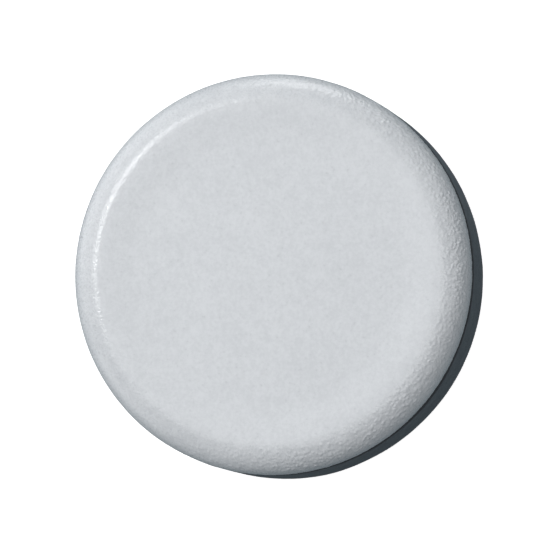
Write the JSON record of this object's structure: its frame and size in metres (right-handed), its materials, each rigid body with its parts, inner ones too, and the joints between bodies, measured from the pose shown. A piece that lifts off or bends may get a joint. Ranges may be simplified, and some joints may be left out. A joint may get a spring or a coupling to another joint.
{
  "type": "felt polishing wheel",
  "caption": "Round felt polishing pad in a pale, finely pebbled skin, held by hook and loop on a charcoal foam cushion with a ribbed plate and a riveted, internally threaded steel hub.",
  "frame": {"origin": "centre of the hub's rear seat face, on the wheel's axis; the wheel stands on that seat", "axes": "+Z along the wheel's axis towards the polishing face; +Y square to the hub's wrench flats"},
  "size_m": [0.102, 0.102, 0.039],
  "materials": {
    "pad_skin": "satin, fine pebbled grain",
    "felt": "pressed wool felt",
    "loop_fabric": "brushed loop knit, dark grey",
    "hook_fabric": "moulded nylon hooks",
    "foam": "closed-cell foam with a moulded skin",
    "moulded_plate": "glass-filled nylon",
    "hub_steel": "turned, zinc plated",
    "plate_steel": "stamped, zinc plated",
    "rivet_steel": "headed, zinc plated"
  },
  "bodies": {
    "backing": {"hook_disc": "hook_fabric", "cushion": "foam", "backing_plate": "moulded_plate", "threaded_hub": "hub_steel", "clamp_plate": "plate_steel", "hub_rivets": "rivet_steel"},
    "pad": {"face_cover": "pad_skin", "felt_core": "felt", "loop_disc": "loop_fabric"}
  },
  "joints": [
    {"name": "pad_lift", "type": "slide", "parent": "backing", "child": "pad", "axis": [0, 0, 1], "range_m": [0, 0.03]}
  ]
}
